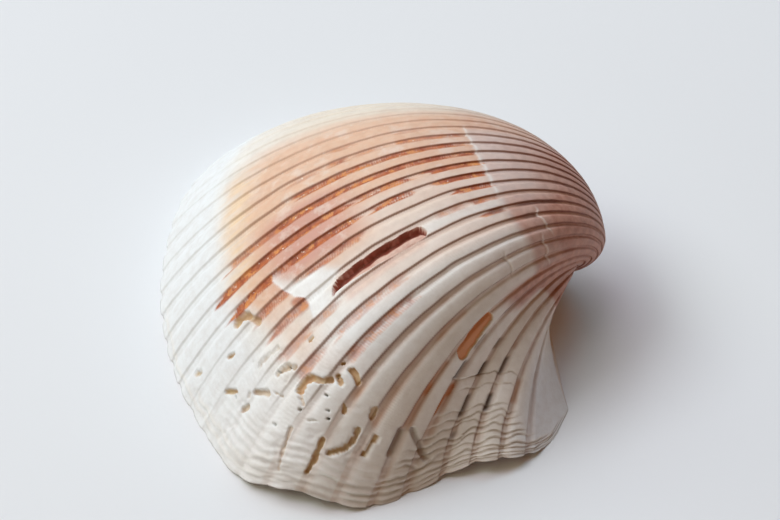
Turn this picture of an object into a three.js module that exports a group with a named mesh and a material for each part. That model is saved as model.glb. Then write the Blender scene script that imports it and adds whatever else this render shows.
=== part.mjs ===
// Cockle shell: one valve, lying on its rim with the ribbed convex side up and the hollow below.
// Units are mm. +Z is up, Y runs along the straight hinge, and the beak is on the +X side.
// The rim outline is the last growth line. Each older growth line is that same outline, turned about the
// coiling axis and shrunk towards the apex, so the whole outside is one logarithmic spiral surface.
import * as THREE from 'three';

// Spiral of growth
const APEX_HEIGHT = 4.18;
const COIL_AXIS = new THREE.Vector3(-0.266, 1, 0.067).normalize();
const COIL_RATE = 1.536;
const BEAK_AGE = 2.9;

// Rim outline seen from above: [angle from the mid-rim direction in degrees, distance from the apex]
const RIM = [
  [-82.2, 19.2], [-77, 25.4], [-67, 30.3], [-50, 34.4], [-25, 39.1], [0, 39.6], [20, 40.6],
  [35, 42], [46, 43.3], [54, 41.8], [62, 39], [72, 31.4], [83, 28.5], [92, 24.6], [98, 19.8],
];
const FAR_END = RIM[0][0];
const NEAR_END = RIM[RIM.length - 1][0];

// The rim is lifted off the table in two low arches: [middle angle, half width, height]
const ARCHES = [[53.5, 12.5, 1.6], [80, 13.5, 1.7]];

// Ribs fan out from the beak: [groove number, angle in degrees], even between these
const GROOVES = [[-14, -79], [0, -10.1], [5, 15.5], [10, 39.4], [15, 63], [16, 66.5], [18, 75.5], [20, 86.2]];
const GROOVE_DEPTH = 0.75;
const GROOVE_HALF_WIDTH = 0.2;
const SMOOTH_STRIP = [89, 92, 95];

// Wall, measured in the plane of a growth line, as a share of the base wall at each place
const WALL = 2.8;
const WALL_AT_RIM = 0.85;
const WALL_AT_CORNERS = 1.95;
const WALL_AT_HINGE = 1.55;
const THICKEN_FROM = 60;
const BOWL_CENTRE = new THREE.Vector3(-14, 0, 0);
const BOWL_AGE = 1.2;
const NARROWEST_BOWL = 0.22;

// Grid
const HINGE_STEPS = 12;
const OUTER_ROWS = 24;
const INNER_ROWS = 9;
const ROW_GROWTH = 1.25;

const clamp01 = (x) => Math.min(Math.max(x, 0), 1);

// Slope at one knot of a curve through knots [x, y]
function slopeAt(knots, i) {
  const before = knots[Math.max(i - 1, 0)];
  const after = knots[Math.min(i + 1, knots.length - 1)];
  return (after[1] - before[1]) / (after[0] - before[0]);
}

// Number of the stretch between knots that x falls in
function stretchOf(knots, x) {
  const next = knots.findIndex((knot, i) => i > 0 && x <= knot[0]);
  return next < 0 ? knots.length - 2 : next - 1;
}

// Smooth curve through the knots
function curveThrough(knots, x) {
  const i = stretchOf(knots, x);
  const [x0, y0] = knots[i];
  const [x1, y1] = knots[i + 1];
  const span = x1 - x0;
  const t = (x - x0) / span;
  const rise = slopeAt(knots, i) * span;
  const fall = slopeAt(knots, i + 1) * span;
  const bend = (2 * y0 - 2 * y1 + rise + fall) * t ** 3;
  return bend + (3 * y1 - 3 * y0 - 2 * rise - fall) * t ** 2 + rise * t + y0;
}

// Straight lines between the knots
function lineThrough(knots, x) {
  const i = stretchOf(knots, x);
  const [x0, y0] = knots[i];
  const [x1, y1] = knots[i + 1];
  return y0 + ((y1 - y0) * (x - x0)) / (x1 - x0);
}

// Height of the rim above the table
function liftAt(angle) {
  return ARCHES.reduce((height, [middle, half, top]) => {
    const away = Math.min(Math.abs(angle - middle) / half, 1);
    return height + top * Math.cos((away * Math.PI) / 2) ** 2;
  }, 0);
}

// Point of the rim at an angle, pushed in by a depth
function rimPoint(angle, depth) {
  const turn = THREE.MathUtils.degToRad(angle);
  const reach = curveThrough(RIM, angle) - depth;
  return new THREE.Vector3(-reach * Math.cos(turn), -reach * Math.sin(turn), liftAt(angle));
}

// One column of the grid: its place on the rim outside, the ungrooved place that the smooth inside follows,
// and its wall share
function rimColumn(angle, depth) {
  const towardsCorner = THREE.MathUtils.smoothstep(Math.abs(angle), THICKEN_FROM, NEAR_END);
  const share = THREE.MathUtils.lerp(WALL_AT_RIM, WALL_AT_CORNERS, towardsCorner);
  return { point: rimPoint(angle, depth), smooth: rimPoint(angle, 0), share };
}

// A groove takes three columns: two shoulders and the bottom between them
function grooveColumns(number) {
  const at = (n) => lineThrough(GROOVES, n);
  const shoulders = [number - GROOVE_HALF_WIDTH, number + GROOVE_HALF_WIDTH].map((n) => rimColumn(at(n), 0));
  return [shoulders[0], rimColumn(at(number), GROOVE_DEPTH), shoulders[1]];
}

// Columns along the straight hinge, from the near corner back to the far corner
function hingeColumns() {
  const near = rimPoint(NEAR_END, 0);
  const far = rimPoint(FAR_END, 0);
  return Array.from({ length: HINGE_STEPS - 1 }, (_, i) => {
    const along = (i + 1) / HINGE_STEPS;
    const point = near.clone().lerp(far, along);
    const share = THREE.MathUtils.lerp(WALL_AT_HINGE, WALL_AT_CORNERS, (2 * along - 1) ** 2);
    return { point, smooth: point, share };
  });
}

// All columns once round: far corner, ribs, smooth strip, near corner, hinge
function allColumns() {
  const first = GROOVES[0][0];
  const last = GROOVES[GROOVES.length - 1][0];
  const numbers = Array.from({ length: last - first + 1 }, (_, i) => first + i);
  const ribs = numbers.flatMap(grooveColumns);
  const strip = SMOOTH_STRIP.map((angle) => rimColumn(angle, 0));
  return [rimColumn(FAR_END, 0), ...ribs, ...strip, rimColumn(NEAR_END, 0), ...hingeColumns()];
}

// Carry a point of the rim plane back along the spiral to an age
function grow(point, age) {
  const apex = new THREE.Vector3(0, 0, APEX_HEIGHT);
  const arm = point.clone().sub(apex);
  arm.applyAxisAngle(COIL_AXIS, COIL_RATE * age);
  arm.multiplyScalar(Math.exp(-age));
  return arm.add(apex);
}

// Inside face of a column at an age: the wall keeps its real thickness while the outline shrinks
function innerPoint(column, age) {
  const arm = column.smooth.clone().sub(BOWL_CENTRE);
  const wall = WALL * column.share * Math.exp(age);
  const kept = Math.max(1 - wall / Math.hypot(arm.x, arm.y), NARROWEST_BOWL);
  const flat = new THREE.Vector3(arm.x * kept, arm.y * kept, arm.z);
  return grow(flat.add(new THREE.Vector3(BOWL_CENTRE.x, BOWL_CENTRE.y, 0)), age);
}

// Rows of the closed skin: beak tip to rim outside, then rim to the deep end of the bowl inside
function skinRows(columns) {
  const outerAges = Array.from({ length: OUTER_ROWS + 1 }, (_, i) => BEAK_AGE * (1 - i / OUTER_ROWS) ** ROW_GROWTH);
  const innerAges = Array.from({ length: INNER_ROWS + 1 }, (_, i) => (BOWL_AGE * i) / INNER_ROWS);
  const outer = outerAges.map((age) => columns.map((column) => grow(column.point, age)));
  const inner = innerAges.map((age) => columns.map((column) => innerPoint(column, age)));
  return [...outer, ...inner];
}

// Corner numbers of the two triangles between neighbouring rows and columns
function bandTriangles(row, column, count) {
  const next = (column + 1) % count;
  const a = row * count + column;
  const b = row * count + next;
  return [a, a + count, b, b, a + count, b + count];
}

// Fan that closes the first or last row on one point
function fanTriangles(start, pole, count, flip) {
  return Array.from({ length: count }, (_, i) => {
    const a = start + i;
    const b = start + ((i + 1) % count);
    return flip ? [pole, b, a] : [pole, a, b];
  }).flat();
}

function buildShell() {
  const columns = allColumns();
  const count = columns.length;
  const rows = skinRows(columns);
  const tip = grow(BOWL_CENTRE, BEAK_AGE);
  const deep = grow(BOWL_CENTRE, BOWL_AGE + 0.12);
  const points = [...rows.flat(), tip, deep];
  const total = rows.length * count;
  const cells = Array.from({ length: (rows.length - 1) * count }, (_, i) => [Math.floor(i / count), i % count]);
  const bands = cells.flatMap(([row, column]) => bandTriangles(row, column, count));
  const caps = [...fanTriangles(0, total, count, false), ...fanTriangles(total - count, total + 1, count, true)];
  const geometry = new THREE.BufferGeometry().setFromPoints(points);
  geometry.setIndex([...bands, ...caps]);
  return geometry;
}

// Origin: middle of the bounding box, on the table
function centreOnTable(geometry) {
  geometry.computeBoundingBox();
  const { min, max } = geometry.boundingBox;
  geometry.translate(-(min.x + max.x) / 2, -(min.y + max.y) / 2, -min.z);
  geometry.computeVertexNormals();
  return geometry;
}

const stone = new THREE.MeshStandardMaterial({ color: 0xe6dccf, roughness: 0.6, metalness: 0 });
const valve = new THREE.Mesh(centreOnTable(buildShell()), stone);
valve.name = 'shell_valve';

const group = new THREE.Group();
group.name = 'cockle_shell';
group.add(valve);

export default group;
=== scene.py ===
"""Weathered cockle valve on a pale table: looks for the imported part. The outside is one logarithmic spiral
surface, described by rib number (0 to 20 across the side that faces the camera) and age (0 at the rim,
growing towards the beak). Lengths are in mm until a mesh is written, which is in metres."""
import math

import bpy
import numpy as np
from mathutils import Matrix


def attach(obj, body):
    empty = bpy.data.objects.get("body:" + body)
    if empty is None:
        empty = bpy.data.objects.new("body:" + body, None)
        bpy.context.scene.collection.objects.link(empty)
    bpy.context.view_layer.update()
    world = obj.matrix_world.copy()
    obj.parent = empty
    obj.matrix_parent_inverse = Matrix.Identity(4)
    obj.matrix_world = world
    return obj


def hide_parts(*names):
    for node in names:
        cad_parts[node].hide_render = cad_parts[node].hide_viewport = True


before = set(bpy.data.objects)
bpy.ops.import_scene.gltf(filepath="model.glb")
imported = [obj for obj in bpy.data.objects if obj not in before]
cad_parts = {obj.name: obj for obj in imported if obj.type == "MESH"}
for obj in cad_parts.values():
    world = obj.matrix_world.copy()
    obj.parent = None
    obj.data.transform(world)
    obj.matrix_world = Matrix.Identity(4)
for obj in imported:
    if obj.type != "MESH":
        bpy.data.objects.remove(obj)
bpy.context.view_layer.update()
MM = 0.001

# ---------------------------------------------------------------- growth spiral, as in the CAD part
APEX = np.array([16.524, 3.273, 4.18])
AXIS = np.array([-0.266, 1.0, 0.067]) / math.sqrt(0.266 ** 2 + 1.0 + 0.067 ** 2)
COIL = 1.536
BEAK_AGE = 2.9
RIM = [(-82.2, 19.2), (-77, 25.4), (-67, 30.3), (-50, 34.4), (-25, 39.1), (0, 39.6), (20, 40.6), (35, 42),
       (46, 43.3), (54, 41.8), (62, 39), (72, 31.4), (83, 28.5), (92, 24.6), (98, 19.8)]
ARCHES = [(53.5, 12.5, 1.6), (80, 13.5, 1.7)]
RIBS = [(-14.65, -82.2), (-14, -79), (0, -10.1), (5, 15.5), (10, 39.4), (15, 63), (16, 66.5), (18, 75.5),
        (20, 86.2), (22.4, 98)]
FAR_RIB, NEAR_RIB = RIBS[0][0], RIBS[-1][0]
WALL, WALL_RIM, WALL_CORNER, WALL_HINGE = 2.8, 0.85, 1.95, 1.55
BOWL = np.array([-14.0, 0.0, 0.0])
BOWL_AGE = 1.2


def curve_through(knots, x):
    """Smooth curve through knots (x, y)."""
    kx, ky = np.array(knots).T
    before, after = np.r_[0, np.arange(len(kx) - 1)], np.r_[np.arange(1, len(kx)), len(kx) - 1]
    slope = (ky[after] - ky[before]) / (kx[after] - kx[before])
    i = np.clip(np.searchsorted(kx, x) - 1, 0, len(kx) - 2)
    span = kx[i + 1] - kx[i]
    t = (x - kx[i]) / span
    rise, fall = slope[i] * span, slope[i + 1] * span
    bend = (2 * ky[i] - 2 * ky[i + 1] + rise + fall) * t ** 3
    return bend + (3 * ky[i + 1] - 3 * ky[i] - 2 * rise - fall) * t ** 2 + rise * t + ky[i]


def angle_of(rib):
    rx, ry = np.array(RIBS).T
    return np.interp(rib, rx, ry)


def rim_point(rib):
    """Point of the rim, with the apex above the origin, for an array of rib numbers."""
    angle = angle_of(rib)
    reach = curve_through(RIM, angle)
    lift = sum(top * np.cos(np.minimum(abs(angle - mid) / half, 1) * math.pi / 2) ** 2 for mid, half, top in ARCHES)
    turn = np.radians(angle)
    return np.stack([-reach * np.cos(turn), -reach * np.sin(turn), lift], -1)


def grow(point, age):
    """Carries points of the rim plane back along the spiral to their age, into the frame's place."""
    arm = point - np.array([0, 0, APEX[2]])
    c, s = np.cos(COIL * age)[..., None], np.sin(COIL * age)[..., None]
    arm = arm * c + np.cross(AXIS, arm) * s + AXIS * (arm @ AXIS)[..., None] * (1 - c)
    return arm * np.exp(-age)[..., None] + APEX


def on_shell(rib, age):
    return grow(rim_point(np.atleast_1d(rib)), np.atleast_1d(age))


# ---------------------------------------------------------------- small maths
def ramp(a, b, x):
    t = np.clip((x - a) / (b - a), 0, 1)
    return t * t * (3 - 2 * t)


def window(lo, hi, soft, x):
    return ramp(lo - soft, lo + soft, x) * (1 - ramp(hi - soft, hi + soft, x))


def lattice(i, j, k, seed):
    h = (i * 374761393 + j * 668265263 + k * 1103515245 + seed * 974711).astype(np.uint32)
    h = (h ^ (h >> np.uint32(13))) * np.uint32(1274126177)
    h = (h ^ (h >> np.uint32(15))) * np.uint32(2246822519)
    return ((h ^ (h >> np.uint32(16))) & np.uint32(65535)).astype(np.float32) / 32767.5 - 1


def noise(x, y, z, seed):
    """Smooth value noise from -1 to 1, the same on every run."""
    x, y, z = np.broadcast_arrays(np.float32(x), np.float32(y), np.float32(z))
    cell = [np.floor(v).astype(np.int64) for v in (x, y, z)]
    fx, fy, fz = [(v - c) ** 3 * ((v - c) * ((v - c) * 6 - 15) + 10) for v, c in zip((x, y, z), cell)]
    total = 0
    for a in (0, 1):
        for b in (0, 1):
            for c in (0, 1):
                weight = (fx if a else 1 - fx) * (fy if b else 1 - fy) * (fz if c else 1 - fz)
                total = total + weight * lattice(cell[0] + a, cell[1] + b, cell[2] + c, seed)
    return total


def cloud(p, size, seed, octaves=3):
    """Layered noise over positions p, with features of about size mm."""
    total, gain = 0, 1.0
    for o in range(octaves):
        f = 2 ** o / size
        total = total + gain * noise(p[..., 0] * f, p[..., 1] * f, p[..., 2] * f, seed + o)
        gain *= 0.5
    return total / (2 - 2 ** (1 - octaves))


def segment_distance(p, ends):
    """Distance in mm from points p to a line through the given (rib, age) points."""
    line = [on_shell(rib, age)[0] for rib, age in ends]
    best = np.full(p.shape[:-1], 1e9, np.float32)
    for a, b in zip(line[:-1], line[1:]):
        ab = b - a
        t = np.clip(((p - a) @ ab) / max(ab @ ab, 1e-9), 0, 1)
        best = np.minimum(best, np.linalg.norm(p - a - t[..., None] * ab, axis=-1))
    return best


# ---------------------------------------------------------------- the grid
STEPS = [0, .03, .06, .09, .12, .16, .2, .26, .33, .42, .5, .58, .67, .74, .8, .84, .88, .91, .94, .97]
RIB_COLUMNS = np.array([j + s for j in range(-14, 20) for s in STEPS])
COLUMNS = np.concatenate([np.linspace(FAR_RIB, -14.04, 12), RIB_COLUMNS, np.linspace(20, NEAR_RIB, 40)])
HINGE_COLUMNS = 220
HINGE_TEETH = 42
INNER_ROWS = 90
ACROSS_LIP = np.linspace(0, 1, 16)[1:-1]
ROW_STEP = 0.0019


def outer_ages():
    """Ages of the rows, closer together at the rim, so that rows stay about 0.14 mm apart."""
    ages, age = [0.0], 0.0
    while age < BEAK_AGE:
        age += ROW_STEP * math.exp(0.55 * age)
        ages.append(min(age, BEAK_AGE))
    return np.array(ages[::-1])


def wall_share(rib):
    t = ramp(60, 98, abs(angle_of(rib)))
    return WALL_RIM + (WALL_CORNER - WALL_RIM) * t


def hinge_line():
    """Points along the straight hinge from the near corner to the far corner, and their wall share."""
    near, far = rim_point(np.array([NEAR_RIB, FAR_RIB]))
    along = (np.arange(HINGE_COLUMNS - 1) + 1) / HINGE_COLUMNS
    return near + (far - near) * along[:, None], WALL_HINGE + (WALL_CORNER - WALL_HINGE) * (2 * along - 1) ** 2, along


def inner_grid(rim, share, ages):
    arm = rim - BOWL
    reach = np.hypot(arm[:, 0], arm[:, 1])
    keep = np.maximum(1 - WALL * share[None] * np.exp(ages)[:, None] / reach[None], 0.22)
    flat = BOWL + np.stack([arm[None, :, 0] * keep, arm[None, :, 1] * keep, np.broadcast_to(rim[:, 2], keep.shape)], -1)
    return grow(flat, np.broadcast_to(ages[:, None], keep.shape))


def grid_normals(p):
    """Outward unit normals of a grid that closes round its columns."""
    across = np.roll(p, -1, 1) - np.roll(p, 1, 1)
    along = np.gradient(p, axis=0)
    n = np.cross(along, across)
    return n / np.maximum(np.linalg.norm(n, axis=-1, keepdims=True), 1e-12)


# ---------------------------------------------------------------- surface relief
# Wavy ends of growth layers: (age, first rib, last rib, step in mm, waviness in age, waves per rib)
LAYER_ENDS = [
    (0.905, 10.6, 12.6, 0.2, 0.012, 0.5), (0.862, 12.6, 14.6, 0.24, 0.012, 0.8),
    (0.69, 12.8, 14.1, 0.16, 0.012, 0.7), (0.79, 2.0, 9.0, 0.05, 0.004, 0.9),
    (0.31, 15.9, 18.8, 0.2, 0.013, 0.9), (0.262, 16.4, 18.8, 0.12, 0.011, 0.9),
    (0.185, 16.2, 18.8, 0.14, 0.013, 0.9), (0.158, 16.0, 19.2, 0.16, 0.014, 0.9),
    (0.135, 16.0, 19.4, 0.16, 0.014, 0.95), (0.112, 15.6, 19.6, 0.18, 0.014, 0.9),
    (0.09, 15.4, 19.8, 0.18, 0.013, 0.85), (0.07, 15.3, 20.2, 0.18, 0.012, 0.9),
    (0.052, 14.8, 21.0, 0.18, 0.010, 0.8), (0.036, 11.0, 21.6, 0.16, 0.006, 0.9),
    (0.022, 8.0, 22.0, 0.16, 0.004, 1.0), (0.01, 4.0, 22.4, 0.14, 0.003, 1.0),
]
# Borings and grazed trenches: ([(rib, age), ...], half width mm, depth mm, ochre stain)
BORINGS = [
    ([(7.52, .149), (7.52, .163), (7.66, .171)], .5, .6, .95),
    ([(7.75, .172), (8.2, .183)], .4, .35, .7), ([(7.46, .04), (7.6, .05)], .2, .35, .7),
    ([(8.23, .106), (8.33, .117)], .16, .4, .9), ([(9.02, .072), (9.4, .086)], .22, .5, .85),
    ([(9.6, .141), (9.5, .149), (9.6, .17), (9.7, .187)], .24, .35, .35),
    ([(10.02, .078), (10.14, .087)], .26, .4, .6),
    ([(10.05, .113), (10.3, .122), (10.52, .129)], .28, .5, .6),
    ([(10.36, .163), (10.46, .175), (10.56, .184)], .34, .55, .55),
    ([(10.78, .19), (10.8, .193)], .22, .5, .6), ([(10.49, .243), (10.47, .25)], .17, .5, 1.6),
    ([(11.45, .165), (11.42, .18), (11.5, .19)], .4, .6, 1.15),
    ([(11.6, .192), (11.95, .197), (12.1, .201)], .3, .5, .8),
    ([(11.85, .145), (11.65, .155), (11.5, .165)], .18, .25, .5),
    ([(12.47, .2), (12.25, .211)], .3, .55, .9),
    ([(12.95, .214), (12.7, .225), (12.52, .231)], .3, .4, 1.05),
    ([(12.05, .237), (12.1, .239)], .22, .5, 1.1),
    ([(13.05, .035), (13.05, .06), (13.02, .095)], .3, .5, .9),
    ([(13.35, .077), (13.7, .092), (13.82, .11), (13.82, .137)], .27, .5, .8),
    ([(14.3, .096), (14.38, .135)], .24, .4, .9), ([(13.95, .168), (13.88, .185)], .3, .3, .7),
    ([(13.1, .155), (12.95, .168)], .16, .3, 1.0),
    ([(12.25, .028), (12.1, .06), (11.97, .1)], .14, .16, .45),
    ([(11.05, .14), (10.75, .139)], .15, .25, .5), ([(9.95, .1), (9.9, .104)], .12, .25, .3),
    ([(12.3, .12), (12.5, .124)], .12, .25, .3),
]
PINHOLES = [
    (9.49, .08), (11.88, .134), (12.3, .172), (12.82, .133), (12.64, .147), (10.53, .184),
    (11.4, .097), (10.3, .165),
]
RUST_PATCH = [(15.52, .39), (15.45, .44), (15.32, .5), (15.3, .522)]
BAY = [(14.98, .11), (14.95, .16)]
CLEFT = [(16.35, .074), (16.0, .115), (15.75, .135), (15.4, .163)]
# Dark stretches in grooves: (groove, from age, to age, strength)
BLACK = [
    (16, .30, .365, .9), (16, .41, .47, .5), (17, .30, .355, .95), (17, .41, .46, .55),
    (18, .30, .375, .75), (17, .165, .235, .8), (18, .165, .225, .9), (17, .1, .12, .5),
    (15, .11, .165, .35),
]
# Rust in grooves: (groove, from age, to age, strength)
RUST = [
    (2, .44, .485, .3), (2, .6, .66, .25), (3, .33, .4, .3), (3, .42, .47, .6), (3, .49, .55, .25),
    (3, .59, .78, .55), (4, .34, .77, .8), (5, .17, .3, .55), (5, .29, .79, .95), (6, .13, .44, .95),
    (6, .46, .59, .75), (6, .63, .79, 1.1), (7, .14, .27, .85), (7, .27, .44, 1), (7, .48, .57, .9),
    (7, .64, .785, 1.1), (8, .18, .26, .6), (8, .3, .43, .6), (8, .68, .79, .95), (9, .19, .275, .55),
    (9, .6, .68, .35), (9, .7, .79, .6), (10, .19, .26, .35), (10, .27, .33, .35), (11, .19, .24, .4),
    (11, .28, .46, .35), (12, .25, .43, .45), (10, .72, .79, .6),
]
# Brown and orange stains in the front grooves: (groove, from age, to age, strength)
STAINS = [
    (12, .2, .25, .4), (13, .15, .25, .9), (13, .25, .6, .5), (14, .15, .5, .75), (15, .16, .36, 1.15),
    (15, .36, .8, .6), (16, .19, .295, 1.3), (16, .13, .19, .7), (19, .19, .29, 1.05),
    (18, .4, .7, .6), (17, .5, .8, .5), (19, .3, .6, .4),
]


def between(age, lo, hi, soft=0.012):
    return ramp(lo - soft, lo + soft, age) * (1 - ramp(hi - soft, hi + soft, age))


def layer_steps(rib, age, p):
    """Height of the stepped growth layers: each older layer ends in a step that stands over the younger one. Also masks
    for a painted highlight along each step's crest and painted shade in the crevice just below it.
    """
    total = np.zeros(rib.shape, np.float32)
    step_crest_highlight, crevice_shade = np.zeros(rib.shape, np.float32), np.zeros(rib.shape, np.float32)
    for n, (at, first, last, step, wave, pace) in enumerate(LAYER_ENDS):
        bulge = 1 - 2 * np.sin(math.pi * (rib + 0.36)) ** 2
        slow, quick = noise(rib * 1.1, n, 0.5, 31 + n), noise(rib * 4, n, 0.5, 51 + n)
        wander = wave * (0.45 * bulge * pace + 0.9 * slow + 0.45 * quick)
        d = age - at - wander
        here = window(first, last, 0.35, rib)
        total += here * step * (ramp(-0.0022, 0.0022, d) - 1) * np.exp(np.minimum(d, 0) / 0.02)
        # Painted highlight: a light band along the crest of each step.
        step_crest_highlight = np.maximum(step_crest_highlight, here * np.exp(-((d - 0.004) / 0.004) ** 2))
        # Painted shade: a dark band in the crevice just below each step, broken up by noise from rib 9 on.
        broken = np.clip(0.55 + 0.8 * noise(rib * 2.2, n, age * 40, 91 + n), 0, 1) * ramp(9, 14, rib)
        crevice_shade = np.maximum(crevice_shade, here * broken * np.exp(-((d + 0.004) / 0.0035) ** 2))
    crowd = 1 - ramp(0.02, 0.17, age)
    fine = age * 118 + 0.9 * noise(rib * 0.9, age * 30, 3.3, 71) + 0.5 * noise(rib * 2.7, age * 60, 1.1, 72)
    saw = fine - np.floor(fine)
    tooth = (1 - saw) * ramp(0, 0.22, saw)
    strength = 0.014 + 0.05 * crowd * window(10, 19.5, 2, rib) + 0.03 * (1 - ramp(0.01, 0.06, age))
    total += strength * (tooth - 0.5) * (0.6 + 0.6 * noise(p[..., 0] * 0.2, p[..., 1] * 0.2, p[..., 2] * 0.2, 73))
    swell = np.sin(2 * math.pi * (age / 0.0135 + 0.5 * noise(rib * 1.3, age * 20, 2.2, 75)))
    total += 0.05 * swell * (1 - ramp(0.06, 0.11, age)) * window(9.5, 16, 1.2, rib)
    return total, step_crest_highlight, crevice_shade


def ribs_relief(rib, age, p):
    """Flat-topped ribs. A groove has a steep wall on its far side, a flat notched floor and a gentle near wall."""
    size = np.exp(-age)
    off = rib + 0.03 * noise(rib * 0.6, age * 9, 0.2, 11)
    side = off - np.round(off)
    young = 1 - ramp(0.06, 0.24, age)
    striae = np.sin(2 * math.pi * (age * 150 + 0.8 * side + 0.8 * noise(rib * 2, age * 30, 0.9, 14)))
    thread = 400 * (1 - np.exp(-age / 2)) + 1.2 * side + 0.5 * noise(rib * 3, age * 12, 0.7, 12)
    beat = np.sin(2 * math.pi * thread) * (1 - young)
    ragged = side + 0.016 * beat + 0.02 * noise(rib * 2.1, age * 25, 4.4, 13)
    floor = ramp(-0.085, -0.03, ragged) * (1 - ramp(0.16, 0.36, ragged))
    ribbed = 1 - ramp(20.2, 20.8, rib)
    worn = young * window(7.6, 14.2, 0.8, rib)
    gone = (1 - ramp(0.08, 0.17, age)) * window(9.4, 14.8, 0.5, rib)
    front = ramp(9, 12, rib)
    depth = (0.25 - 0.09 * young - 0.1 * worn) * size ** 0.75 * (1 + 0.5 * ramp(0.6, 0.9, age))
    depth = depth * (0.55 + 0.45 * ramp(-1, 4, rib)) * (1 - 0.85 * gone)
    across = np.mod(side - 0.14, 1) - 0.5
    crown = (0.06 + 0.12 * front) * size * (1 - (2 * across) ** 2)
    h = ribbed * (crown - depth * floor)
    h = h + 0.012 * striae * (1 - floor) * size ** 0.5 * ribbed * (0.4 + 0.6 * noise(rib * 0.7, age * 8, 1.9, 15))
    h = h + 0.022 * beat * size ** 0.4 * (0.15 + 1.1 * floor) * ribbed
    # Painted shade: a dark line along the foot of each groove's steep far wall.
    line = np.exp(-((ragged + 0.045) / 0.045) ** 2)
    return h, floor * ribbed, line * ribbed * (1 - gone), beat * ribbed


def slot_cut(rib, age, rough):
    """The long slot eroded along one rib: undercut far wall, floor rising towards the near side. Also its red-brown
    colour, darkest at the far wall, where the extra dark is painted shade.
    """
    ages = [.322, .33, .345, .37, .42, .47, .52, .548, .556, .562]
    top = np.interp(age, ages, [9.75, 9.5, 9.28, 9.22, 9.2, 9.2, 9.2, 9.25, 9.4, 9.75]) + 0.35 * rough
    low = np.interp(age, ages, [9.75, 9.7, 9.72, 9.76, 9.86, 9.96, 9.98, 9.97, 9.95, 9.75]) + 0.2 * rough
    here = ramp(-0.02, 0.035, rib - top) * (1 - ramp(-0.05, 0.03, rib - low)) * between(age, 0.322, 0.562, 0.002)
    rise = np.clip((rib - top) / 0.62, 0, 1)
    depth = 0.75 * (1 - ramp(0.25, 0.9, rise)) + 0.22
    red_and_shaded = ramp(-0.07, -0.03, rib - top) * (1 - ramp(-0.05, 0.03, rib - low)) * between(age, 0.32, 0.564, 0.002)
    return here * depth, red_and_shaded * (1 - ramp(0.3, 0.62, rise)), here


def chalk_zone(rib, age, rough):
    """Bright patch where the coloured outer layer has broken away."""
    left = np.interp(rib, [6.9, 7.2, 8, 8.6, 8.9, 9.35, 9.95], [.243, .238, .25, .262, .276, .276, .268]) + 0.012 * rough
    right = np.interp(rib, [6.9, 7.3, 8.0, 8.3, 8.9, 9.1, 9.3, 9.95], [.243, .254, .266, .33, .36, .34, .325, .32])
    across = ramp(-0.002, 0.002, age - left) * (1 - ramp(-0.02, 0.02, age - right - 0.05 * rough))
    return across * window(7.0, 9.9, 0.1, rib)


def relief(rib, age, p):
    """Height in mm over the smooth spiral surface, with the masks that the colours use."""
    h, floor, line, beat = ribs_relief(rib, age, p)
    steps, step_crest_highlight, crevice_shade = layer_steps(rib, age, p)
    size = np.exp(-age)
    h = h + steps * np.clip(size * 1.6, 0, 1)
    eaten = window(7.5, 16, 1.5, rib) * (1 - ramp(0.16, 0.3, age))
    h = h + (0.10 * cloud(p, 7.0, 41) + 0.02 * cloud(p, 1.1, 44)) * size ** 0.4
    h = h + eaten * (0.12 * cloud(p, 3.0, 46) - 0.1 * ramp(0.25, 0.5, cloud(p, 1.6, 47)))
    mask = {"floor": floor, "line": line, "step_crest_highlight": step_crest_highlight, "crevice_shade": crevice_shade, "beat": beat}
    near = (age < 0.7) & (rib > 5) & (rib < 19)
    q, r, a = p[near], rib[near], age[near]
    rough = 0.16 * cloud(q, 0.9, 51)
    for name in ("ochre", "slot_red_and_shade", "black", "chalk", "rose"):
        mask[name] = np.zeros(rib.shape, np.float32)
    cut, ochre = np.zeros(len(q), np.float32), np.zeros(len(q), np.float32)
    hole, dark = np.zeros(len(q), np.float32), np.zeros(len(q), np.float32)
    for ends, half, depth, stain in BORINGS:
        d = (segment_distance(q, ends) + rough * 1.5) / half
        inside = 1 - ramp(0.78, 1.1, d)
        cut = np.maximum(cut, depth * inside)
        ochre = np.maximum(ochre, stain * (1 - ramp(0.85, 1.25, d)))
        hole = np.maximum(hole, inside)
    for spot in PINHOLES:
        d = segment_distance(q, [spot, spot]) / 0.16
        cut = np.maximum(cut, 0.6 * (1 - ramp(0.6, 1.1, d)))
        dark = np.maximum(dark, 0.8 * (1 - ramp(0.5, 1.1, d)))
    depth, slot_red_and_shade, inside = slot_cut(r, a, rough)
    cut, hole = np.maximum(cut, depth), np.maximum(hole, inside)
    mask["slot_red_and_shade"][near] = slot_red_and_shade
    mask["rose"][near] = np.maximum(inside, window(9.9, 10.45, 0.12, r) * between(a, 0.34, 0.55) * 0.5)
    patch = (segment_distance(q, RUST_PATCH) + rough) / 0.75
    inside = 1 - ramp(0.85, 1.05, patch)
    cut = np.maximum(cut, 0.26 * inside)
    ochre = np.maximum(ochre, 1.5 * (1 - ramp(0.9, 1.08, patch)))
    cut = np.maximum(cut, 0.45 * (1 - ramp(0.3, 1.2, (segment_distance(q, BAY) + rough) / 0.5)))
    chalk = chalk_zone(r, a, rough)
    mask["ochre"][near], mask["chalk"][near] = ochre, chalk
    cleft = 1 - ramp(0.3, 1.0, (segment_distance(q, CLEFT) + rough) / 0.45)
    cut = np.maximum(cut, 0.5 * cleft)
    h[near] = np.where(hole > 0.02, np.minimum(h[near], 0.06), h[near]) - cut - 0.13 * chalk * (1 - hole)
    mask["black"][near] = dark
    # Painted shade in the cleft, over the cut that it lies in.
    mask["crevice_shade"][near] = np.maximum(mask["crevice_shade"][near], 0.9 * cleft)
    for groove, lo, hi, strength in BLACK:
        here = strength * between(age, lo, hi, 0.008) * np.exp(-((rib - groove - 0.02) / 0.13) ** 2)
        mask["black"] = np.maximum(mask["black"], here)
    h = h - 0.16 * mask["black"]
    return h, mask


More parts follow.
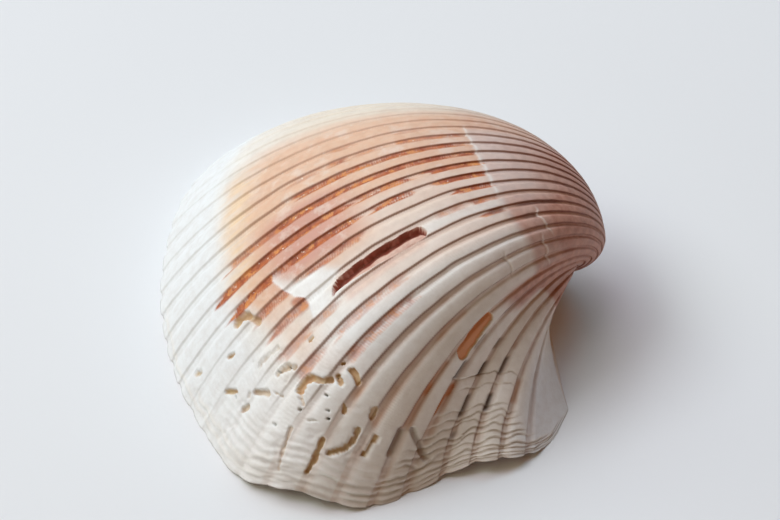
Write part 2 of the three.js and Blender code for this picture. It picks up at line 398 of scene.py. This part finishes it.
# ---------------------------------------------------------------- build the mesh
def quads(rows, columns):
    r, c = np.meshgrid(np.arange(rows - 1), np.arange(columns), indexing="ij")
    a, b = r * columns + c, r * columns + (c + 1) % columns
    return np.stack([a, a + columns, b + columns, b], -1).reshape(-1, 4)


def fan(start, pole, columns, flip):
    a, b = start + np.arange(columns), start + (np.arange(columns) + 1) % columns
    pole = np.full(columns, pole)
    return np.stack([pole, b, a] if flip else [pole, a, b], -1)


def make_mesh(name, points, four, three, layers):
    mesh = bpy.data.meshes.new(name)
    mesh.vertices.add(len(points))
    mesh.vertices.foreach_set("co", (points * MM).astype(np.float32).ravel())
    loops = np.concatenate([four.ravel(), three.ravel()]).astype(np.int32)
    mesh.loops.add(len(loops))
    mesh.loops.foreach_set("vertex_index", loops)
    sizes = np.concatenate([np.full(len(four), 4), np.full(len(three), 3)]).astype(np.int32)
    mesh.polygons.add(len(sizes))
    mesh.polygons.foreach_set("loop_start", np.concatenate([[0], np.cumsum(sizes)[:-1]]).astype(np.int32))
    mesh.update(calc_edges=True)
    mesh.shade_smooth()
    for layer, values in layers.items():
        mesh.attributes.new(layer, "FLOAT", "POINT").data.foreach_set("value", values.astype(np.float32).ravel())
    mesh.validate()
    obj = bpy.data.objects.new(name, mesh)
    bpy.context.scene.collection.objects.link(obj)
    return obj


def colour_layers(rib, age, p, mask):
    """Colour zones of the outside, each from 0 to 1."""
    drift = 0.5 * cloud(p, 5.0, 61) + 0.25 * cloud(p, 1.6, 64)
    streak = noise(rib * 6, age * 30, 0.4, 66)
    fine = cloud(p, 0.5, 68)
    start = np.interp(rib, [-2, 2, 5, 7, 7.4, 8.3, 9.5, 11, 13], [0.22, 0.19, 0.17, 0.15, 0.17, 0.18, 0.19, 0.19, 0.24])
    begins = ramp(-0.05, 0.08, age - start + 0.05 * drift + 0.02 * streak)
    begins = np.where(rib > 7.4, ramp(-0.02, 0.03, age - start + 0.03 * drift), begins)
    sharp = ramp(1.5, 3.5, rib)
    band = begins * (1 - sharp * ramp(-0.008, 0.008, age - 0.79 + 0.008 * streak))
    band = band * (1 - (1 - sharp) * ramp(0.8, 1.5, age))
    peach = band * window(-0.3, 8.9, 1.2, rib + 0.6 * drift)
    peach = peach * (1 - 0.45 * window(6.5, 9, 0.8, rib) * ramp(0.4, 0.5, age))
    peach = peach * (1 - 0.3 * ramp(0.2, 0.6, drift))
    peach = np.maximum(peach, 0.45 * begins * window(9.0, 12.6, 0.6, rib) * (1 - ramp(0.22, 0.3, age)))
    peach = np.maximum(peach, 0.35 * band * window(9.9, 11.6, 0.3, rib) * ramp(0.3, 0.4, age))
    salmon = band * window(4.6, 8.0, 0.5, rib) * (1 - ramp(0.36, 0.5, age)) * ramp(0.2, 0.3, age)
    rust = np.zeros(rib.shape, np.float32)
    for groove, lo, hi, strength in RUST:
        reach = np.exp(-(np.maximum(abs(rib - groove - 0.14) - 0.17, 0) / 0.05) ** 2)
        rust = np.maximum(rust, strength * reach * between(age + 0.02 * streak, lo, hi, 0.014))
    beat = mask["beat"]
    worn = np.clip(0.95 + 0.7 * streak * (0.4 + 0.6 * abs(beat)) + 0.5 * fine + 0.25 * beat, 0.12, 1.1)
    rust = 1.3 * rust * worn
    late = ramp(0.77, 0.82, age)
    old = ramp(0.85, 1.25, age)
    mauve = late * (0.38 + 0.25 * drift) + 0.5 * old + 0.3 * late * ramp(8.5, 10.5, rib) + 0.16 * ramp(0.5, 0.75, age)
    mauve = mauve + 0.8 * ramp(0.57, 0.66, age) * window(14.9, 16.7, 0.35, rib)
    mauve = mauve + 0.3 * ramp(0.6, 0.95, age) * ramp(17, 19, rib)
    mauve = mauve * (0.45 + 0.55 * ramp(0.5, 4.0, rib)) * (1 - 0.6 * ramp(19.3, 20.5, rib))
    plum = between(age, 0.84, 1.04, 0.03) * np.exp(-((rib - 10.1) / 0.16) ** 2) * 0.8
    plum = np.maximum(plum, between(age, 0.74, 0.79) * np.exp(-((rib - 10.15) / 0.22) ** 2) * 0.7)
    plum = np.maximum(plum, between(age, 0.56, 0.92, 0.03) * np.exp(-((rib - 16.02) / 0.14) ** 2) * 0.75)
    plum = np.maximum(plum, between(age, 0.84, 0.9, 0.012) * np.exp(-((rib - 11.1) / 0.2) ** 2) * 0.55)
    tan = mask["floor"] * ramp(10.5, 13.5, rib) * (1 - ramp(0.8, 1.0, age)) * (0.45 + 0.3 * streak + 0.2 * drift)
    tan = np.maximum(tan, 0.5 * mask["floor"] * window(8.6, 12, 0.5, rib) * ramp(0.3, 0.6, age))
    tan = np.maximum(tan, 0.35 * ramp(0.1, 0.5, drift) * window(11.5, 16, 0.8, rib) * between(age, 0.1, 0.32, 0.05))
    tan = tan * 0.6
    for groove, lo, hi, strength in STAINS:
        reach = np.exp(-(np.maximum(abs(rib - groove - 0.1) - 0.08, 0) / 0.1) ** 2)
        tan = np.maximum(tan, strength * reach * (0.8 + 0.4 * streak) * between(age + 0.01 * streak, lo, hi, 0.015))
    cream = (1 - ramp(-0.5, 3.0, rib + drift)) * ramp(0.14, 0.42, age)
    white = (1 - ramp(0.12, 0.2, age + 0.02 * drift)) * (1 - 0.5 * ramp(7, 13, rib)) * (1 - ramp(13.5, 15.5, rib))
    white = np.maximum(white, 0.5 * window(10.9, 14.0, 0.7, rib) * (1 - ramp(0.3, 0.6, age)))
    white = np.maximum(white, ramp(19.0, 20.4, rib) * (1 - ramp(0.3, 0.6, age)))
    dim = 0.3 * window(12.95, 15.1, 0.25, rib) * (1 - ramp(0.5, 0.7, age))
    dim = dim + (0.5 + 0.5 * drift) * window(15.2, 19.2, 0.4, rib) * (1 - ramp(0.1, 0.22, age))
    # Painted shade along the foot of each groove's far wall, weighted by rib and by age.
    shade = np.interp(rib, [-2, 0, 2.5, 5, 9, 14, 20, 21], [0.1, 0.3, 0.6, 0.9, 0.85, 0.8, 0.6, 0.1])
    groove_shade_lines = mask["line"] * shade * (0.05 + 0.95 * np.where(rib > 14.5, ramp(0.02, 0.1, age), ramp(0.14, 0.26, age)))
    groove_shade_lines = groove_shade_lines * (1 - 0.35 * (1 - ramp(0.18, 0.36, age)) * (rib < 9))
    broken = window(8.65, 9.4, 0.12, rib) * between(age, 0.25, 0.276, 0.006)
    broken = np.maximum(broken, 0.7 * mask["floor"] * window(8.8, 9.5, 0.1, rib) * between(age, 0.2, 0.276, 0.006))
    uneven = 0.6 + 0.8 * np.clip(drift + streak, -0.6, 0.6)
    glow = np.exp(-((age - start - 0.02) / 0.045) ** 2) * window(0.5, 6.6, 1.0, rib) * uneven
    return {"glow": glow, "peach": peach, "salmon": salmon, "rust": np.maximum(rust, 0.8 * broken),
            "mauve": mauve, "plum": plum, "tan": tan, "cream": cream, "white": white, "dim": dim, "groove_shade_lines": groove_shade_lines}


# Marks of the relief that the material also paints, among them painted highlight on step crests and painted shade in
# crevices and in the slot
MARKS = ("floor", "step_crest_highlight", "crevice_shade", "ochre", "slot_red_and_shade", "black", "chalk", "rose")


def build_valve():
    """One closed mesh: outside rows from the beak to the rim, the rim's flat underside, and the bowl."""
    ages = outer_ages()
    hinge, hinge_share, along = hinge_line()
    rim = np.concatenate([rim_point(COLUMNS), hinge])
    share = np.concatenate([wall_share(COLUMNS), hinge_share])
    count, ribbed = len(rim), len(COLUMNS)
    age = np.broadcast_to(ages[:, None], (len(ages), count))
    base = grow(np.broadcast_to(rim, (len(ages), count, 3)), age)
    normal = grid_normals(base)
    flat = 1 - ramp(0.0, 0.05, ages)[:, None]
    push = normal.copy()
    push[..., 2] *= 1 - flat
    push /= np.maximum(np.linalg.norm(push, axis=-1, keepdims=True), 1e-9)
    rib = np.broadcast_to(COLUMNS, (len(ages), ribbed))
    h = np.zeros(age.shape, np.float32)
    layers = {}
    height, mask = relief(rib, age[:, :ribbed], base[:, :ribbed])
    ends = ramp(FAR_RIB, FAR_RIB + 0.5, rib) * (1 - ramp(NEAR_RIB - 0.5, NEAR_RIB, rib))
    h[:, :ribbed] = height * ends
    ridge = np.exp(-age[:, ribbed:]) * 0.12 * np.sin(age[:, ribbed:] * 60 + 9 * abs(along - 0.5))
    h[:, ribbed:] = ridge * np.minimum(1, 8 * np.minimum(along, 1 - along))
    outer = base + push * h[..., None]
    outer[..., 2] = np.maximum(outer[..., 2], 0)
    inner_ages = BOWL_AGE * np.linspace(0, 1, INNER_ROWS) ** 1.2
    inner = inner_grid(rim, share, inner_ages)
    lip = outer[-1] + (inner[0] - outer[-1]) * ACROSS_LIP[:, None, None]
    carve_underside(lip, inner, inner_ages, along)
    rows = np.concatenate([outer, lip, inner])
    tip, deep = grow(BOWL[None], np.array([BEAK_AGE]))[0], grow(BOWL[None], np.array([BOWL_AGE + 0.12]))[0]
    points = np.concatenate([rows.reshape(-1, 3), tip[None], deep[None]])
    total = len(rows) * count
    four = quads(len(rows), count)
    three = np.concatenate([fan(0, total, count, False), fan(total - count, total + 1, count, True)])
    paint = colour_layers(rib, age[:, :ribbed], base[:, :ribbed], mask)
    paint.update({name: mask[name] for name in MARKS})
    for name, values in paint.items():
        full = np.zeros((len(rows), count), np.float32)
        full[:len(ages), :ribbed] = values
        layers[name] = np.concatenate([full.ravel(), [0, 0]])
    full = np.ones((len(rows), count), np.float32)
    full[:len(ages)] = 0
    layers["inside"] = np.concatenate([full.ravel(), [0, 1]])
    return make_mesh("shell_valve_skin", points, four, three, layers)


def carve_underside(lip, inner, inner_ages, along):
    """Notched inner rim, and the row of small upright teeth along the hinge plate, cut up from the flat rim."""
    ribbed = len(COLUMNS)
    notch = np.sin(math.pi * COLUMNS) ** 2
    across = ACROSS_LIP
    lip[:, :ribbed, 2] += 0.3 * notch * ramp(0.35, 1.0, across)[:, None]
    depth = 0.3 * notch * (1 - ramp(0.0, 0.09, inner_ages))[:, None]
    inner[:, :ribbed, 2] += depth
    teeth = 0.5 + 0.5 * np.cos(2 * math.pi * along * HINGE_TEETH)
    bed = window(0.04, 0.96, 0.03, along) * (0.35 + 0.9 * abs(2 * along - 1))
    lip[:, ribbed:, 2] += 0.4 * (1 - ramp(0.25, 0.6, teeth)) * bed * window(0.3, 0.82, 0.1, across)[:, None]


valve = build_valve()
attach(valve, "root")
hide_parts("shell_valve")


# ---------------------------------------------------------------- materials
def tone(r, g, b):
    """Linear colour from 0 to 255 display values."""
    part = [v / 255 for v in (r, g, b)]
    return tuple(v / 12.92 if v <= 0.04045 else ((v + 0.055) / 1.055) ** 2.4 for v in part) + (1.0,)


class Nodes:
    """Short calls for building a node tree."""

    def __init__(self, name):
        self.material = bpy.data.materials.new(name)
        self.material.use_nodes = True
        self.tree = self.material.node_tree
        self.tree.nodes.clear()
        self.links = self.tree.links

    def node(self, kind, **settings):
        made = self.tree.nodes.new(kind)
        for key, value in settings.items():
            setattr(made, key, value)
        return made

    def put(self, socket, value):
        if isinstance(value, bpy.types.NodeSocket):
            self.links.new(value, socket)
        else:
            socket.default_value = value

    def layer(self, name):
        return self.node("ShaderNodeAttribute", attribute_name=name).outputs["Fac"]

    def times(self, a, b):
        made = self.node("ShaderNodeMath", operation="MULTIPLY")
        for socket, value in zip(made.inputs, (a, b)):
            self.put(socket, value)
        return made.outputs[0]

    def remap(self, value, low, high, out_low=0.0, out_high=1.0):
        made = self.node("ShaderNodeMapRange", interpolation_type="SMOOTHSTEP")
        for socket, v in zip(made.inputs, (value, low, high, out_low, out_high)):
            self.put(socket, v)
        return made.outputs[0]

    def mix(self, factor, a, b):
        made = self.node("ShaderNodeMix", data_type="RGBA")
        self.put(made.inputs["Factor"], factor)
        self.put(made.inputs["A"], a)
        self.put(made.inputs["B"], b)
        return made.outputs["Result"]

    def grain(self, scale, detail=3.0, rough=0.55):
        """Noise over the object, scale in features per metre."""
        where = self.node("ShaderNodeTexCoord").outputs["Object"]
        made = self.node("ShaderNodeTexNoise")
        for name, v in (("Scale", scale), ("Detail", detail), ("Roughness", rough)):
            made.inputs[name].default_value = v
        self.links.new(where, made.inputs["Vector"])
        return made.outputs["Fac"]

    def bump(self, height, strength, distance, normal=None):
        made = self.node("ShaderNodeBump")
        made.inputs["Strength"].default_value = strength
        made.inputs["Distance"].default_value = distance
        self.put(made.inputs["Height"], height)
        if normal is not None:
            self.links.new(normal, made.inputs["Normal"])
        return made.outputs["Normal"]

    def finish(self, color, roughness, normal, specular):
        shader = self.node("ShaderNodeBsdfPrincipled")
        self.put(shader.inputs["Base Color"], color)
        self.put(shader.inputs["Roughness"], roughness)
        self.links.new(normal, shader.inputs["Normal"])
        shader.inputs["Specular IOR Level"].default_value = specular
        out = self.node("ShaderNodeOutputMaterial")
        self.links.new(shader.outputs[0], out.inputs["Surface"])
        return self.material


def shell_material():
    n = Nodes("weathered_shell")
    patch, speck, grit = n.grain(160), n.grain(1100, 4), n.grain(5200, 3, 0.7)
    flecks = n.remap(n.grain(2400, 2), 0.66, 0.72)

    def over(color, layer, paint, strength=1.0):
        return n.mix(n.times(n.layer(layer), strength), color, paint)

    color = n.mix(n.remap(patch, 0.35, 0.65), tone(241, 236, 228), tone(232, 225, 215))
    color = over(color, "cream", tone(232, 220, 203))
    color = over(color, "peach", n.mix(n.remap(speck, 0.3, 0.7), tone(226, 182, 152), tone(229, 192, 165)))
    color = over(color, "glow", tone(244, 214, 170), 0.6)
    color = over(color, "salmon", tone(208, 150, 134), 0.85)
    wear = n.remap(n.grain(420, 5, 0.65), 0.5, 0.66, 0.0, 0.5)
    color = n.mix(n.times(wear, n.layer("peach")), color, tone(236, 218, 204))
    color = over(color, "white", tone(236, 238, 238))
    color = over(color, "mauve", n.mix(n.remap(speck, 0.3, 0.7), tone(178, 122, 104), tone(202, 150, 130)))
    color = over(color, "dim", tone(202, 192, 176))
    color = over(color, "tan", tone(186, 128, 82), 0.85)
    color = n.mix(n.remap(n.layer("tan"), 0.9, 1.3, 0.0, 0.8), color, tone(190, 106, 48))
    color = over(color, "rust", n.mix(n.remap(speck, 0.35, 0.65), tone(192, 104, 54), tone(158, 74, 40)))
    amber = n.times(n.layer("rust"), n.remap(n.grain(700, 3, 0.6), 0.52, 0.62, 0.0, 0.7))
    color = n.mix(amber, color, tone(224, 146, 76))
    fleck = n.times(n.times(n.layer("floor"), n.layer("peach")), flecks)
    color = n.mix(fleck, color, tone(240, 225, 208))
    # Painted shade: dark reddish-brown line at the foot of each groove's far wall.
    color = over(color, "groove_shade_lines", tone(124, 62, 36), 0.8)
    color = over(color, "plum", tone(108, 58, 46))
    # Painted highlight on step crests, then painted shade in the crevices below steps and in the cleft.
    color = over(color, "step_crest_highlight", tone(240, 236, 228), 0.5)
    color = over(color, "crevice_shade", tone(150, 132, 110), 0.6)
    color = over(color, "chalk", tone(243, 241, 237))
    pink = n.mix(n.remap(speck, 0.35, 0.65), tone(206, 150, 128), tone(222, 180, 158))
    color = over(color, "rose", pink, 0.85)
    yellow = n.mix(n.remap(speck, 0.35, 0.65), tone(214, 184, 136), tone(196, 154, 104))
    color = n.mix(n.remap(n.layer("ochre"), 0.0, 1.0, 0.0, 0.9), color, yellow)
    color = n.mix(n.remap(n.layer("ochre"), 1.0, 1.5), color, tone(222, 148, 96))
    # Red-brown of the slot inside, going darker towards the far wall as painted shade.
    red = n.mix(n.remap(n.layer("slot_red_and_shade"), 0.4, 1.0), tone(186, 104, 76), tone(140, 54, 34))
    color = over(color, "slot_red_and_shade", red, 0.96)
    color = over(color, "black", tone(50, 42, 32), 0.95)
    pearl = n.mix(n.remap(patch, 0.4, 0.6), tone(238, 231, 222), tone(228, 218, 206))
    color = n.mix(n.layer("inside"), color, pearl)
    color = n.mix(n.remap(n.grain(900, 5, 0.7), 0.35, 0.7, 0.0, 0.16), color, tone(176, 154, 134))
    rough = n.remap(speck, 0.25, 0.75, 0.42, 0.6)
    normal = n.bump(grit, 0.3, 0.00005)
    normal = n.bump(speck, 0.25, 0.0001, normal)
    return n.finish(color, rough, normal, 0.4)


def table_material():
    n = Nodes("pale_table")
    color = n.mix(n.remap(n.grain(9, 2), 0.3, 0.7), (0.8, 0.8, 0.8, 1), (0.81, 0.81, 0.81, 1))
    return n.finish(color, 0.85, n.bump(n.grain(1500, 3), 0.12, 0.0001), 0.2)


valve.data.materials.append(shell_material())

# ---------------------------------------------------------------- table, light and camera
bpy.ops.mesh.primitive_plane_add(size=4.0, location=(0, 0, 0))
table = bpy.context.object
table.name = "table_top"
table.data.materials.append(table_material())


LIGHT_DISTANCE, LIGHT_SIZE = 1.0, 0.5


def basis(right, up, back):
    return Matrix([[right[i], up[i], back[i]] for i in range(3)]).to_quaternion()


def soft_light(name, toward, power, color):
    """Round area light that shines on the valve from a direction."""
    back = np.array(toward, float) / np.linalg.norm(toward)
    right = np.cross([0, 0, 1], back)
    right /= np.linalg.norm(right)
    data = bpy.data.lights.new(name, "AREA")
    data.shape, data.size, data.energy, data.color = "DISK", LIGHT_SIZE, power, color
    lamp = bpy.data.objects.new(name, data)
    lamp.location = back * LIGHT_DISTANCE
    lamp.rotation_mode = "QUATERNION"
    lamp.rotation_quaternion = basis(right, np.cross(back, right), back)
    bpy.context.scene.collection.objects.link(lamp)


# A broad arc of soft light from the left and behind: (height, direction in degrees, power, colour)
LIGHTS = [(50, 180, 4.2, (0.85, 0.92, 1.0)), (50, 140, 2.4, (0.8, 0.95, 1.0)), (50, 100, 1.9, (0.8, 0.85, 1.0)),
          (50, 60, 1.9, (0.4, 0.8, 1.0)), (50, 220, 1.2, (0.85, 1.0, 0.75)), (25, 145, 1.2, (0.9, 1.0, 0.85)),
          (78, 150, 1.0, (0.8, 0.7, 1.0))]
for number, (height, way, power, color) in enumerate(LIGHTS):
    up, heading = math.radians(height), math.radians(way)
    toward = (math.cos(heading) * math.cos(up), math.sin(heading) * math.cos(up), math.sin(up))
    soft_light("soft_%d" % number, toward, power, color)

world = bpy.data.worlds.new("room")
world.use_nodes = True
world.node_tree.nodes["Background"].inputs["Color"].default_value = (1.0, 0.4, 0.1, 1)
world.node_tree.nodes["Background"].inputs["Strength"].default_value = 0.15
scene = bpy.context.scene
scene.world = world
scene.view_settings.view_transform = "Standard"
scene.view_settings.look = "None"

TARGET = np.array([1.060, 5.785, 0.0]) * MM
ELEVATION, TURN, ROLL = math.radians(42.21), math.radians(-1.89), math.radians(-2.69)
DISTANCE = 0.38208


def place_camera():
    ce, se, ca, sa = math.cos(ELEVATION), math.sin(ELEVATION), math.cos(TURN), math.sin(TURN)
    back = np.array([sa * ce, -ca * ce, se])
    flat = np.array([ca, sa, 0.0])
    high = np.cross(back, flat)
    right = math.cos(ROLL) * flat - math.sin(ROLL) * high
    up = math.sin(ROLL) * flat + math.cos(ROLL) * high
    data = bpy.data.cameras.new("view")
    data.lens, data.sensor_width = 165.32, 36.0
    data.clip_start, data.clip_end = 0.01, 10.0
    camera = bpy.data.objects.new("view", data)
    camera.location = TARGET + DISTANCE * back
    camera.rotation_mode = "QUATERNION"
    camera.rotation_quaternion = basis(right, up, back)
    scene.collection.objects.link(camera)
    scene.camera = camera


place_camera()
